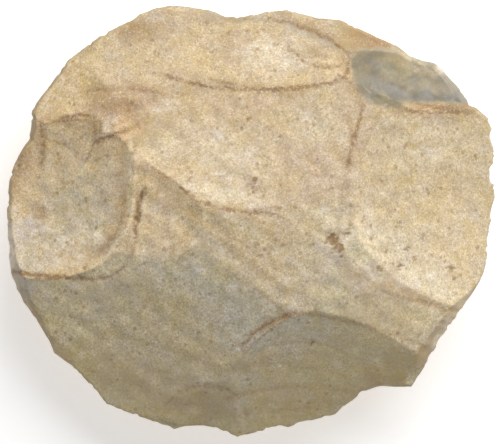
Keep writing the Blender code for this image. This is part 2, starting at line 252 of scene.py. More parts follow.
# Creases and small steps: three photo pixels on an arc, half width in pixels, depth in
# millimetres (negative stands proud), strength of the brown in it
CREASES = (
    ((362, 107), (353, 138), (346, 166), 2.2, 0.16, 0.75),
    ((346, 166), (340, 200), (336, 236), 2.6, 0.05, 0.20),
    ((10, 271), (50, 277), (88, 279), 1.8, 0.28, 0.85),
    ((88, 279), (124, 268), (137, 238), 2.2, 0.16, 0.40),
    ((137, 238), (139, 214), (146, 190), 2.0, 0.20, 0.75),
    ((103, 255), (126, 232), (131, 190), 1.8, -0.20, 0.00),
    ((131, 190), (134, 160), (128, 138), 1.6, -0.14, 0.00),
    ((100, 252), (120, 228), (125, 195), 3.0, 0.14, 0.35),
    # The brown of the next two creases, along the left pit's top and right side, is partly painted
    # shade on the pit's side of their ridges.
    ((57, 122), (76, 117), (95, 119), 1.7, 0.22, 0.95),
    ((95, 119), (94, 148), (84, 166), 1.8, 0.14, 0.45),
    ((84, 166), (74, 178), (60, 190), 1.6, -0.20, 0.00),
    ((98, 143), (114, 137), (132, 131), 1.9, 0.20, 0.80),
    ((132, 131), (142, 124), (152, 112), 1.8, 0.12, 0.35),
    ((40, 122), (44, 144), (41, 168), 2.6, 0.30, 0.60),
    ((84, 94), (120, 90), (172, 99), 1.7, 0.12, 0.45),
    ((142, 163), (172, 181), (199, 203), 1.7, 0.10, 0.55),
    ((199, 203), (228, 210), (262, 213), 1.8, 0.14, 0.85),
    ((262, 213), (275, 216), (287, 222), 1.6, 0.08, 0.40),
    ((165, 76), (205, 88), (252, 91), 1.6, 0.14, 0.80),
    ((252, 91), (300, 90), (334, 83), 1.6, 0.12, 0.75),
    ((334, 83), (346, 74), (346, 54), 1.8, 0.14, 0.65),
    ((288, 47), (306, 65), (345, 65), 1.6, 0.14, 0.50),
    ((290, 52), (300, 57), (318, 58), 1.4, 0.08, 0.30),
    ((265, 20), (304, 29), (346, 53), 1.8, 0.14, 0.60),
    ((241, 345), (264, 325), (300, 311), 2.4, 0.16, 0.60),
    ((300, 311), (360, 324), (425, 346), 1.8, 0.10, 0.40),
    ((252, 352), (290, 341), (345, 352), 1.8, 0.14, 0.22),
    ((258, 360), (300, 352), (352, 366), 2.6, 0.12, 0.16),
    ((262, 380), (315, 368), (380, 384), 3.4, 0.12, 0.08),
    ((188, 95), (194, 101), (185, 106), 1.2, 0.12, 0.35),
    ((200, 204), (203, 228), (192, 250), 1.8, -0.10, 0.00),
    ((168, 206), (178, 226), (172, 246), 1.6, -0.05, 0.00),
    ((360, 98), (388, 108), (436, 113), 1.6, 0.14, 0.45),
    ((412, 104), (440, 110), (470, 114), 1.5, 0.08, 0.55),
    ((395, 112), (430, 114), (468, 114), 1.3, 0.10, 0.60),
    ((402, 298), (430, 303), (460, 312), 1.8, 0.06, 0.40),
    ((215, 374), (280, 362), (350, 380), 3.0, 0.06, 0.16),
    ((226, 398), (300, 386), (372, 398), 2.8, 0.06, 0.18),
    ((238, 414), (290, 409), (342, 402), 2.4, 0.06, 0.20),
    ((100, 330), (170, 350), (236, 372), 3.0, 0.06, 0.10),
    ((346, 240), (370, 282), (402, 298), 2.0, 0.05, 0.16),
    ((36, 205), (45, 222), (38, 228), 2.2, 0.16, 0.45),
    ((165, 410), (200, 385), (240, 398), 2.6, 0.16, 0.34),
    ((236, 396), (238, 418), (244, 438), 2.2, -0.14, 0.00),
    ((85, 40), (140, 18), (200, 14), 1.4, 0.06, 0.20),
)

# Small pits: place in photo pixels, radius in pixels, depth in millimetres
PITS = (
    (331, 241, 5.0, 0.45), (338, 249, 4.4, 0.40), (345, 233, 3.2, 0.30), (341, 256, 2.6, 0.22),
    (325, 235, 2.4, 0.20), (354, 247, 2.2, 0.18), (370, 240, 2.6, 0.24), (384, 252, 2.8, 0.24),
    (405, 251, 3.0, 0.26), (398, 266, 2.8, 0.24), (412, 259, 2.4, 0.20), (378, 268, 2.6, 0.22),
    (450, 268, 3.4, 0.28), (443, 259, 2.4, 0.20), (453, 277, 2.4, 0.20), (362, 219, 2.6, 0.22),
    (254, 182, 3.8, 0.28), (253, 190, 2.6, 0.22), (247, 122, 3.2, 0.22), (283, 114, 2.2, 0.16),
    (312, 127, 2.6, 0.20), (314, 136, 2.2, 0.16), (226, 141, 2.2, 0.16), (196, 196, 2.4, 0.18),
    (139, 220, 3.0, 0.26), (142, 212, 2.4, 0.22), (311, 342, 3.0, 0.22), (301, 336, 2.4, 0.18),
    (75, 318, 2.6, 0.18), (212, 52, 2.4, 0.16), (160, 58, 2.6, 0.18), (276, 210, 2.6, 0.18),
    (191, 181, 2.4, 0.16), (300, 158, 2.2, 0.15), (268, 150, 2.2, 0.14), (330, 190, 2.4, 0.16),
    (385, 215, 2.2, 0.15), (420, 238, 2.4, 0.16), (232, 62, 2.2, 0.14), (180, 45, 2.4, 0.14),
    (105, 62, 2.4, 0.14), (150, 222, 2.4, 0.16),
)

# Depth in metres at which a pit is as dark as it gets
PIT_FULL_DEPTH = 0.30 * MM

# The fresh chip in photo pixels: its left side, which bows about a middle height, and its right
CHIP_LEFT, CHIP_BOW, CHIP_MIDDLE, CHIP_HALF = 351.0, 12.0, 70.0, 32.0
CHIP_RIGHT = 469.0

# Its level floor, with a drop to the left and a step, and its top, which opens to the edge
CHIP_FLOOR, CHIP_DROP, CHIP_DROP_FROM, CHIP_DROP_REACH = 111.5, 20.0, 352.0, 14.0
CHIP_STEP, CHIP_STEP_AT = 8.0, 404.0
CHIP_TOP, CHIP_OPENING, CHIP_OPENS_AT = 50.5, 60.0, 402.0

# Softness of its turns, its floor and its other sides
CHIP_TURN, CHIP_SOFT_FLOOR, CHIP_SOFT_SIDE = 3.0, 0.9, 1.2

# How grey the fresh flint is where no mark changes it
SLATE_BASE = 0.34

# How far short waves shift pits, marks, creases and the chip, in pixels, and the lengths and
# seeds of those waves
PIT_WANDER, PIT_LENGTHS, PIT_SEED = 1.5, (0.9 * MM, 2.6 * MM), 61
MARK_WANDER, MARK_LENGTHS, MARK_SEED = 5.0, (2.5 * MM, 9.0 * MM), 71
CREASE_WANDER, CREASE_LENGTHS, CREASE_SEED = 0.8, (1.2 * MM, 5.0 * MM), 81
CHIP_WANDER, CHIP_LENGTHS, CHIP_SEED = 0.8, (1.5 * MM, 6.0 * MM), 91

# Marks this wide in pixels or wider have fully ragged outlines
MARK_FULL_WANDER = 22.0

# Softness in pixels of the ends of a crease
CREASE_END = 2.0

# Chips along the edge that are too small for the solid: how many on each face, their sizes in
# shares of the half stone, most of them small, and their sinking, turns, dips and proportions
NICK_COUNT = 64
NICK_SEED = 11
NICK_SMALL = 0.018
NICK_LARGE = 0.070
NICK_SKEW = 1.6
NICK_SINK = 0.25
NICK_LIFT = 0.012
NICK_TURN = 25.0
NICK_DIPS = (30.0, 48.0)
NICK_LONG = 1.6
NICK_BROAD = (0.9, 1.8)

# Bearings of the near side, whose patina is olive up to the edge
NEAR_SIDE = (195.0, 345.0)

# Nibbles out of the outline: their count, half widths in degrees and depths in metres, and
# the power of the way out to the edge by which they fade inwards
NIBBLE_COUNT = 170
NIBBLE_SEED = 11
NIBBLE_WIDTHS = (0.5, 2.8)
NIBBLE_DEPTHS = (0.06 * MM, 0.50 * MM)
NIBBLE_FADE = 6

# Gentle waves left in the scars: heights and lengths in metres. Ripples start a share of the
# half stone outside a seat, widen as a power of the distance and die away over their reach.
# All of it fades out as a power of the way out to the edge.
SWELL_HEIGHT = 0.15 * MM
SWELL_LENGTHS = (4.0 * MM, 18.0 * MM)
GRIT_HEIGHT = 0.026 * MM
GRIT_LENGTHS = (0.9 * MM, 2.4 * MM)
RIPPLE_HEIGHT = 0.055 * MM
RIPPLE_LENGTH = 3.0 * MM
RIPPLE_START = 0.10
RIPPLE_WIDENING = 0.85
RIPPLE_REACH = 0.45 * LENGTH
WAVE_COUNT = 28
UPPER_SEED = 21
LOWER_SEED = 31
RELIEF_FADE = 10

# Studio: bearing and elevation of the key light in degrees, distances and sizes in metres, and
# the camera's film width in millimetres and clipping range in metres
KEY_BEARING = 63.0
KEY_ELEVATION = 42.0
KEY_DISTANCE = 1.0
KEY_SIZE = 0.8
KEY_POWER = 8.8
SURROUND_STRENGTH = 0.34
CAMERA_DISTANCE = 1.0
FILM_WIDTH = 36.0
CLIP_RANGE = (0.05, 20.0)

# Fineness of the two sheets: the upper one's cells a side, and the lower one's half that
UPPER_CELLS = 280
LOWER_CELLS = UPPER_CELLS // 2

# Search for the edge: steps of the radius and where they start, steps of the bearing in
# degrees, and how far past each other the faces may be there
RIM_STEPS = 80
RIM_SEARCH_FROM = 0.90
RIM_BEARING_STEP = 0.25
RIM_OVERLAP = 0.02 * MM

# Ridges: their softness, and how far below a ridge its brown line and pale crest reach
RIDGE_SOFTNESS = 0.035 * MM
LINE_HEIGHT = 0.15 * MM
CREST_HEIGHT = 0.07 * MM

# Strengths of the paint: line on every ridge, on a named ridge and on the lower face, pale
# crest, light and dark marks, bands along the ripples, and stains on the lower face
LINE_EVERYWHERE = 0.12
LINE_NAMED = 0.6
LINE_BELOW = 0.35
CREST_PALENESS = 0.25
MARK_CONTRAST = 0.25
BAND_TONE = 0.02
STAINS_BELOW = 0.5

# Colours that the finish blends in, as linear colours
BLENDS = {
    "warm_cloud": (0.60, 0.48, 0.28),
    "pale_blotch": (0.78, 0.68, 0.50),
    "tan_blotch": (0.54, 0.40, 0.22),
    "rosy": (0.60, 0.41, 0.27),
    "cool": (0.54, 0.51, 0.44),
    "chalky": (0.90, 0.80, 0.62),
    "brown": (0.42, 0.26, 0.11),
    "crest": (0.90, 0.76, 0.50),
    "ridge_line": (0.31, 0.175, 0.07),
    "pale_fleck": (0.95, 0.86, 0.68),
    "brown_fleck": (0.40, 0.27, 0.13),
    "streak": (0.42, 0.31, 0.15),
    "freckle": (0.38, 0.23, 0.13),
    "pinprick": (0.36, 0.23, 0.12),
    "grey_flint": (0.42, 0.354, 0.212),
    "pale_flint": (0.60, 0.480, 0.270),
    "slate": (0.25, 0.225, 0.175),
    "pit": (0.29, 0.17, 0.07),
}

# Noises of the finish: size in metres, detail, roughness, then turns and stretches if any
EVEN = (1.0, 1.0, 1.0)
NOISES = {
    "clouds": (16.0 * MM, 3.0, 0.55),
    "blotch": (4.5 * MM, 4.0, 0.60),
    "mottle": (1.4 * MM, 3.0, 0.60),
    "grain": (0.50 * MM, 2.0, 0.70),
    "dust": (0.30 * MM, 1.0, 0.60),
    "flecks": (0.50 * MM, 2.0, 0.65, ((0.3, 0.2, 0.9), EVEN)),
    "streaks": (5.0 * MM, 4.0, 0.65, ((0.0, 0.0, 0.10), (0.35, 2.2, 1.0))),
    "bands": (4.0 * MM, 4.0, 0.60, ((0.0, 0.0, 0.30), (0.45, 1.0, 1.0))),
    "fine_yellow": (1.7 * MM, 1.0, 0.50, ((0.5, 0.1, 0.3), EVEN)),
    "middle_yellow": (5.0 * MM, 2.0, 0.50, ((0.2, 0.7, 0.3), EVEN)),
    "broad_yellow": (19.0 * MM, 2.0, 0.50, ((0.9, 0.1, 0.5), EVEN)),
}

# Strengths of the finish
CLOUD_SHARE = 0.35
LINE_SHARE = 0.90
PALE_FLECK_SHARE = 0.36
BROWN_FLECK_SHARE = 0.35
STREAK_SHARE = 0.38
FRECKLE_SHARE = 0.60
PINPRICK_SHARE = 0.50
PIT_SHARE = 0.85
YELLOWING = (0.32, 0.42, 0.32)

# Spacing of the freckles and pinpricks, and the height of the bump
FRECKLE_SPACING = 2.4 * MM
PINPRICK_SPACING = 1.1 * MM
BUMP_STRENGTH = 0.60
BUMP_HEIGHT = 0.12 * MM

# How lively the speckle is in the darkest patina, against 1 in the palest
CALM = 0.32

# Floor: half its side in metres, its tone, its roughness and the light it gives off
FLOOR_HALF = 3.0
FLOOR_TONE = 0.9
FLOOR_ROUGHNESS = 0.9
FLOOR_GLOW = 0.40


def outline_at(bearing):
    """Reach and edge height of the outline at bearings of the unit stone, in degrees.

    Between two corners both run straight with the bearing, and the reach gains a parabola
    that is zero at the corners and equals the bulge halfway.
    """
    corners = np.array(OUTLINE_CORNERS)
    bearing = np.mod(bearing, 360.0)
    index = np.searchsorted(corners[:, 0], bearing, side="right") - 1
    after = (index + 1) % len(corners)
    span = np.mod(corners[after, 0] - corners[index, 0], 360.0)
    share = np.mod(bearing - corners[index, 0], 360.0) / span
    reach = corners[index, 1] + (corners[after, 1] - corners[index, 1]) * share
    reach = reach + corners[index, 2] * 4.0 * share * (1.0 - share)
    level = corners[index, 3] + (corners[after, 3] - corners[index, 3]) * share
    return reach, level


def bowl_heights(x, y, scars):
    """Lower and upper height of each scar's ellipsoid over points of the unit stone.

    The ellipsoid's axes are the fall line e1, the level line e2 and the normal e3 of a plane
    that falls by the dip towards the bearing faced. With q the point less the centre, the
    height solves (q.e1 / along)^2 + (q.e2 / across)^2 + (q.e3 / deep)^2 = 1. Outside the
    ellipsoid's shadow both heights are out of reach.
    """
    lower, upper = [], []
    for _, sx, sy, rise, facing, dip, along, across, deep, _ in scars:
        turn, tip = math.radians(facing), math.radians(dip)
        out = np.array((math.cos(turn), math.sin(turn), 0.0))
        up = np.array((0.0, 0.0, 1.0))
        fall = out * math.cos(tip) - up * math.sin(tip)
        normal = out * math.sin(tip) + up * math.cos(tip)
        level = np.cross(up, out)
        form = np.outer(fall, fall) / along**2 + np.outer(level, level) / across**2
        form = form + np.outer(normal, normal) / deep**2
        centre = np.array((sx, sy, rise)) + deep * normal
        dx, dy = x - centre[0], y - centre[1]
        half = form[0, 2] * dx + form[1, 2] * dy
        rest = form[0, 0] * dx**2 + 2 * form[0, 1] * dx * dy + form[1, 1] * dy**2 - 1.0
        under = half**2 - form[2, 2] * rest
        root = np.sqrt(np.maximum(under, 0.0))
        inside = under > 0.0
        lower.append(np.where(inside, centre[2] + (-half - root) / form[2, 2], np.inf))
        upper.append(np.where(inside, centre[2] + (-half + root) / form[2, 2], -np.inf))
    return np.array(lower), np.array(upper)


def face_heights(x, y, radius, level, scars, softness):
    """Height of one face in shares of its full height, and how much each scar owns each point.

    The blank's shoulder is 1 - radius^power blended to the level of the edge. A scar counts
    where its ellipsoid spans the blank. The face is the soft minimum of all that count, and a
    scar's ownership is its weight in that minimum. The gap to the next height up tells how
    far the nearest ridge is.
    """
    drop = radius**BLANK_POWER
    blank = 1.0 - drop + level * drop
    lower, upper = bowl_heights(x, y, scars)
    lower = np.where(upper > blank, lower, np.inf)
    heights = np.concatenate([lower, blank[None]])
    two = np.partition(heights, 1, axis=0)[:2]
    weights = np.exp(-(heights - two[0]) / softness)
    total = weights.sum(axis=0)
    return two[0] - softness * np.log(total), weights / total, two[1] - two[0]


def domed(share):
    """A share t of the full height becomes t * (1 + d * (1 - |t|)), which rounds the face."""
    return share * (1.0 + DOMING * (1.0 - np.abs(share)))


def square_to_disc(a, b):
    """Points of the square -1..1 moved to the disc: each square ring becomes a circle.

    The radius is the larger of |a| and |b|, and the angle runs evenly along the ring.
    """
    wide = np.abs(a) >= np.abs(b)
    radius = np.where(wide, a, b)
    safe_a = np.where(a == 0.0, 1.0, a)
    safe_b = np.where(b == 0.0, 1.0, b)
    quarter = math.pi / 4
    angle = np.where(wide, quarter * b / safe_a, 2 * quarter - quarter * a / safe_b)
    return radius * np.cos(angle), radius * np.sin(angle)


def photo_place(px, py):
    """Place in the unit stone of a pixel of the photo."""
    return (px - PHOTO_MIDDLE[0]) / PHOTO_HALF[0], (PHOTO_MIDDLE[1] - py) / PHOTO_HALF[1]


def near_places(x, y, places):
    """Largest of the places' bells at each point: strength * exp(-(distance / reach)^2)."""
    strongest = np.zeros_like(x)
    for px, py, reach, strength in places:
        cx, cy = photo_place(px, py)
        across = np.hypot((x - cx) * PHOTO_HALF[0], (y - cy) * PHOTO_HALF[1]) / reach
        strongest = np.maximum(strongest, strength * np.exp(-(across**2)))
    return strongest


def softness_at(x, y):
    """Softness of the upper ridges in shares of the height: worn places are rounder."""
    return (RIDGE_SOFTNESS + near_places(x, y, WORN_PLACES) * MM) / UPPER_HEIGHT


def waves(x, y, lengths, seed):
    """Rolling noise of height about 1: plane waves at seeded bearings, lengths and phases."""
    chance = np.random.default_rng(seed)
    total = np.zeros_like(x)
    for _ in range(WAVE_COUNT):
        turn, phase = chance.uniform(0.0, 2 * math.pi, 2)
        length = math.exp(chance.uniform(math.log(lengths[0]), math.log(lengths[1])))
        along = x * LENGTH / 2 * math.cos(turn) + y * WIDTH / 2 * math.sin(turn)
        total += np.sin(2 * math.pi * along / length + phase)
    return total / math.sqrt(WAVE_COUNT / 2)


def trembling_pixels(x, y, wander, lengths, seed):
    """Photo pixels of points of the unit stone, shifted by short waves."""
    px = PHOTO_MIDDLE[0] + x * PHOTO_HALF[0] + wander * waves(x, y, lengths, seed)
    py = PHOTO_MIDDLE[1] - y * PHOTO_HALF[1] + wander * waves(x, y, lengths, seed + 1)
    return px, py


def soft_step(value, softness):
    """0 well below zero, 1 well above it, and 1 / (1 + exp(-value / softness)) between."""
    return 1.0 / (1.0 + np.exp(-np.clip(value / softness, -60.0, 60.0)))


def edge_nicks(seed, side):
    """Rows of small scars round the edge, with seeded bearings, sizes and slopes.

    The side is 1 for the upper face and -1 for the lower one, whose heights count downwards.
    """
    chance = np.random.default_rng(seed)
    rows = []
    for _ in range(NICK_COUNT):
        bearing = chance.uniform(0.0, 360.0)
        reach, level = (float(found[0]) for found in outline_at(np.array([bearing])))
        size = NICK_SMALL * (NICK_LARGE / NICK_SMALL) ** (chance.uniform() ** NICK_SKEW)
        out = reach * (1.0 - NICK_SINK * size)
        rows.append(
            (
                "nick", out * math.cos(math.radians(bearing)),
                out * math.sin(math.radians(bearing)), side * level / UPPER_HEIGHT + NICK_LIFT,
                bearing + chance.uniform(-NICK_TURN, NICK_TURN), chance.uniform(*NICK_DIPS),
                size * NICK_LONG, size * chance.uniform(*NICK_BROAD), size,
                "olive" if NEAR_SIDE[0] < bearing < NEAR_SIDE[1] else "sand",
            )
        )
    return tuple(rows)


def ripples(x, y, owner, scars):
    """Rings spreading from where each flake was struck, just outside its seat.

    Each is a cosine of the distance from that point, its spacing growing as it goes, weighted
    by how much the scar owns the point.
    """
    total = np.zeros_like(x)
    for index, scar in enumerate(scars):
        turn = math.radians(scar[4])
        cx = scar[1] + RIPPLE_START * math.cos(turn)
        cy = scar[2] + RIPPLE_START * math.sin(turn)
        away = np.hypot((x - cx) * LENGTH / 2, (y - cy) * WIDTH / 2)
        rings = np.cos(2 * math.pi * (away / RIPPLE_LENGTH) ** RIPPLE_WIDENING + index)
        total += owner[index] * rings * np.exp(-away / RIPPLE_REACH)
    return total


def relief(x, y, owner, scars, seed):
    """Fine height over the scars in metres: swells, ripples and grit."""
    return (
        SWELL_HEIGHT * waves(x, y, SWELL_LENGTHS, seed)
        + RIPPLE_HEIGHT * ripples(x, y, owner, scars)
        + GRIT_HEIGHT * waves(x, y, GRIT_LENGTHS, seed + 1)
    )


def pit_depths(x, y):
    """Depth of the small pits in metres: a bell exp(-(distance / radius)^2) at each.

    The place is first shifted by short waves, so that the pits have ragged outlines.
    """
    depth = np.zeros_like(x)
    shift_x = PIT_WANDER * waves(x, y, PIT_LENGTHS, PIT_SEED)
    shift_y = PIT_WANDER * waves(x, y, PIT_LENGTHS, PIT_SEED + 1)
    for px, py, radius, deep in PITS:
        cx, cy = photo_place(px, py)
        dx, dy = (x - cx) * PHOTO_HALF[0] + shift_x, (y - cy) * PHOTO_HALF[1] + shift_y
        across = np.hypot(dx, dy) / radius
        depth = np.maximum(depth, deep * MM * np.exp(-(across**2)))
    return depth


def arc_through(first, second, third):
    """Centre and radius of the circle through three points."""
    (ax, ay), (bx, by), (cx, cy) = first, second, third
    twice = 2.0 * (ax * (by - cy) + bx * (cy - ay) + cx * (ay - by))
    a2, b2, c2 = ax * ax + ay * ay, bx * bx + by * by, cx * cx + cy * cy
    middle_x = (a2 * (by - cy) + b2 * (cy - ay) + c2 * (ay - by)) / twice
    middle_y = (a2 * (cx - bx) + b2 * (ax - cx) + c2 * (bx - ax)) / twice
    return middle_x, middle_y, math.hypot(ax - middle_x, ay - middle_y)


def creases(x, y):
    """Height and brown of the creases.

    Each is exp(-(distance to its arc / half width)^2), faded out within a few pixels past the
    arc's ends. Short waves shift the place, so that the lines tremble.
    """
    px, py = trembling_pixels(x, y, CREASE_WANDER, CREASE_LENGTHS, CREASE_SEED)
    height = np.zeros_like(x)
    brown = np.zeros_like(x)
    for first, second, third, half_wide, deep, amount in CREASES:
        cx, cy, radius = arc_through(first, second, third)
        away = (np.hypot(px - cx, py - cy) - radius) / half_wide
        halfway = ((first[0] + third[0]) / 2, (first[1] + third[1]) / 2)
        reach = max(math.dist(first, third) / 2, math.dist(second, halfway))
        past = np.hypot(px - halfway[0], py - halfway[1])
        ends = soft_step(reach - past, CREASE_END)
        bell = np.exp(-(away**2)) * ends
        height = height - deep * MM * bell
        brown = 1.0 - (1.0 - brown) * (1.0 - amount * bell)
    return height, brown


def mark_strengths(x, y, kind):
    """How strongly marks of one kind show: exp(-q^1.5), q the squared distance in half sizes.

    The place is first shifted by short waves, so that the marks have ragged outlines.
    """
    shift_x = MARK_WANDER * waves(x, y, MARK_LENGTHS, MARK_SEED)
    shift_y = MARK_WANDER * waves(x, y, MARK_LENGTHS, MARK_SEED + 1)
    strength = np.zeros_like(x)
    for px, py, half_long, half_wide, bearing, amount in MARKS[kind]:
        cx, cy = photo_place(px, py)
        wander = min(1.0, half_wide / MARK_FULL_WANDER)
        dx = (x - cx) * PHOTO_HALF[0] + shift_x * wander
        dy = (y - cy) * PHOTO_HALF[1] + shift_y * wander
        turn = math.radians(bearing)
        along = (dx * math.cos(turn) + dy * math.sin(turn)) / half_long
        across = (dy * math.cos(turn) - dx * math.sin(turn)) / half_wide
        bell = amount * np.exp(-((along**2 + across**2) ** 1.5))
        strength = 1.0 - (1.0 - strength) * (1.0 - bell)
    return strength


def fresh_chip_mask(x, y):
    """Where the fresh grey flint shows, in photo pixels, as a product of soft steps.

    The left side is a parabola. The lower side is level and drops away to the left as an
    exponential. The upper side is level and then opens out to the edge of the stone.
    """
    px, py = trembling_pixels(x, y, CHIP_WANDER, CHIP_LENGTHS, CHIP_SEED)
    left = px - CHIP_LEFT - CHIP_BOW * ((py - CHIP_MIDDLE) / CHIP_HALF) ** 2
    drop = CHIP_DROP * np.exp(-np.maximum(px - CHIP_DROP_FROM, 0.0) / CHIP_DROP_REACH)
    lower = CHIP_FLOOR - drop - CHIP_STEP * soft_step(px - CHIP_STEP_AT, CHIP_TURN) - py
    upper = py - CHIP_TOP + CHIP_OPENING * soft_step(px - CHIP_OPENS_AT, CHIP_TURN)
    inside = soft_step(lower, CHIP_SOFT_FLOOR)
    for side in (left, upper, CHIP_RIGHT - px):
        inside = inside * soft_step(side, CHIP_SOFT_SIDE)
    return inside


ALL_UPPER_SCARS = UPPER_SCARS + edge_nicks(NICK_SEED, 1.0)
ALL_LOWER_SCARS = LOWER_SCARS + edge_nicks(NICK_SEED + 1, -1.0)


def upper_face(x, y, radius, level):
    """Heights, ownership and gaps of the upper face, with its small edge scars."""
    softness = softness_at(x, y)
    return face_heights(x, y, radius, level / UPPER_HEIGHT, ALL_UPPER_SCARS, softness)


def lower_face(x, y, radius, level):
    """Heights, ownership and gaps of the lower face, measured downwards."""
    softness = RIDGE_SOFTNESS / LOWER_HEIGHT
    return face_heights(x, y, radius, -level / LOWER_HEIGHT, ALL_LOWER_SCARS, softness)


def true_edge():
    """How far out the two faces meet at each step of the bearing, and at what height.

    Along each bearing both faces are worked out at steps of the radius, and the edge is the
    last step where the upper one is still above the lower one.
    """
    bearings = np.arange(0.0, 360.0, RIM_BEARING_STEP)
    reach, level = outline_at(bearings)
    steps = np.linspace(RIM_SEARCH_FROM, 1.0, RIM_STEPS)
    radius = np.repeat(steps[:, None], len(bearings), axis=1)
    x = radius * reach * np.cos(np.radians(bearings))
    y = radius * reach * np.sin(np.radians(bearings))
    up = upper_face(x, y, radius, level)[0]
    down = lower_face(x, y, radius, level)[0]
    gap = up * UPPER_HEIGHT + down * LOWER_HEIGHT
    open_at = gap >= -RIM_OVERLAP
    last = RIM_STEPS - 1 - np.argmax(open_at[::-1], axis=0)
    column = np.arange(len(bearings))
    height = (up[last, column] * UPPER_HEIGHT - down[last, column] * LOWER_HEIGHT) / 2
    return bearings, steps[last], height


def nibbles(bearing):
    """Depth of the small bites out of the outline: the deepest of seeded parabolas."""
    chance = np.random.default_rng(NIBBLE_SEED)
    depth = np.zeros_like(bearing)
    for _ in range(NIBBLE_COUNT):
        middle = chance.uniform(0.0, 360.0)
        width = math.exp(chance.uniform(*np.log(NIBBLE_WIDTHS)))
        deep = math.exp(chance.uniform(*np.log(NIBBLE_DEPTHS)))
        away = ((bearing - middle + 180.0) % 360.0 - 180.0) / width
        depth = np.maximum(depth, deep * (1.0 - away**2))
    return depth


def sheet_points(cells):
    """Plan of one sheet: grid points of a disc stretched out to the true edge.

    Returns the place in the unit stone, the share of the outline's reach, the outline's level
    at that bearing, the share of the way out to the true edge, and the true edge's height.
    """
    line = np.linspace(-1.0, 1.0, cells + 1)
    a, b = np.meshgrid(line, line, indexing="ij")
    u, v = square_to_disc(a, b)
    out = np.hypot(u, v)
    bearing = np.degrees(np.arctan2(v, u)) % 360.0
    reach, level = outline_at(bearing)
    bearings, edge, height = true_edge()
    around = np.append(bearings, 360.0)
    edge_here = np.interp(bearing, around, np.append(edge, edge[0]))
    height_here = np.interp(bearing, around, np.append(height, height[0]))
    radius = out * edge_here
    inward = 1.0 - nibbles(bearing) / (LENGTH / 2) * out**NIBBLE_FADE
    x = inward * radius * reach * np.cos(np.radians(bearing))
    y = inward * radius * reach * np.sin(np.radians(bearing))
    return x, y, radius, level, out, height_here


def build_stone():
    """Closed skin of the stone from an upper sheet and a coarser lower one on the same rim.

    Each sheet is its domed face plus fine relief, which fades out towards the edge. The upper
    one also has creases and pits, and the lower one is cut off level at the resting flat. The
    plan is then centred, and the flat put at height zero.
    """
    x, y, radius, level, out, rim = sheet_points(UPPER_CELLS)
    inward = 1.0 - out**RELIEF_FADE
    top, top_owner, top_gap = upper_face(x, y, radius, level)
    folds, fold_brown = creases(x, y)
    fine = (relief(x, y, top_owner, UPPER_SCARS, UPPER_SEED) + folds) * inward
    top = domed(top) * UPPER_HEIGHT + fine - pit_depths(x, y)
    bx, by, bradius, blevel = (q[::2, ::2] for q in (x, y, radius, level))
    bottom, bottom_owner, bottom_gap = lower_face(bx, by, bradius, blevel)
    rest = domed(REST_SHARE) * LOWER_HEIGHT
    fine = relief(bx, by, bottom_owner, LOWER_SCARS, LOWER_SEED) * inward[::2, ::2]
    bottom = -np.minimum(domed(bottom) * LOWER_HEIGHT + fine, rest)
    side = UPPER_CELLS + 1
    on_rim = np.zeros((side, side), dtype=bool)
    on_rim[[0, -1], :] = True
    on_rim[:, [0, -1]] = True
    full = np.where(rim > 0.0, UPPER_HEIGHT, LOWER_HEIGHT)
    top = np.where(on_rim, domed(rim / full) * full, top)
    plan_x, plan_y = x * LENGTH / 2, y * WIDTH / 2
    middle_x, middle_y = (plan_x.min() + plan_x.max()) / 2, (plan_y.min() + plan_y.max()) / 2
    shift = np.array((-middle_x, -middle_y, rest))
    upper_points = np.stack([plan_x, plan_y, top], axis=-1).reshape(-1, 3) + shift
    inner = ~on_rim[::2, ::2]
    lower_points = np.stack([plan_x[::2, ::2], plan_y[::2, ::2], bottom], axis=-1)[inner] + shift
    points = np.concatenate([upper_points, lower_points])
    mesh = skin_mesh(points, side, inner)
    paint(mesh, (x, y), (top_owner, bottom_owner), (top_gap, bottom_gap), fold_brown, inner)
    return mesh, shift


def skin_mesh(points, side, inner):
    """Faces of the skin: a fine grid above, and below a grid of every second point.

    Both share the rim's points, so a lower cell on the rim also holds the point halfway along
    that side.
    """
    ids = np.arange(side * side).reshape(side, side)
    corner = ids[::2, ::2].copy()
    corner[inner] = side * side + np.arange(inner.sum())
    quads = np.stack([ids[:-1, :-1], ids[1:, :-1], ids[1:, 1:], ids[:-1, 1:]], axis=-1)
    west, east, south, north = (-np.ones((LOWER_CELLS, LOWER_CELLS), dtype=int) for _ in range(4))
    west[:, 0] = ids[1::2, 0]
    east[:, -1] = ids[1::2, -1]
    south[0, :] = ids[0, 1::2]
    north[-1, :] = ids[-1, 1::2]
    around = (
        corner[:-1, :-1], south, corner[:-1, 1:], east,
        corner[1:, 1:], north, corner[1:, :-1], west,
    )
    cells = np.stack(around, axis=-1).reshape(-1, 8)
    used = cells >= 0
    loops = np.concatenate([quads.reshape(-1), cells[used]])
    counts = np.concatenate([np.full(UPPER_CELLS**2, 4), used.sum(axis=1)])
    mesh = bpy.data.meshes.new("flint_skin")
    mesh.vertices.add(len(points))
    mesh.vertices.foreach_set("co", points.astype(np.float32).ravel())
    mesh.loops.add(len(loops))
    mesh.loops.foreach_set("vertex_index", loops.astype(np.int32))
    mesh.polygons.add(len(counts))
    mesh.polygons.foreach_set("loop_start", (np.cumsum(counts) - counts).astype(np.int32))
    mesh.polygons.foreach_set("use_smooth", np.ones(len(counts), dtype=bool))
    mesh.update(calc_edges=True)
    return mesh


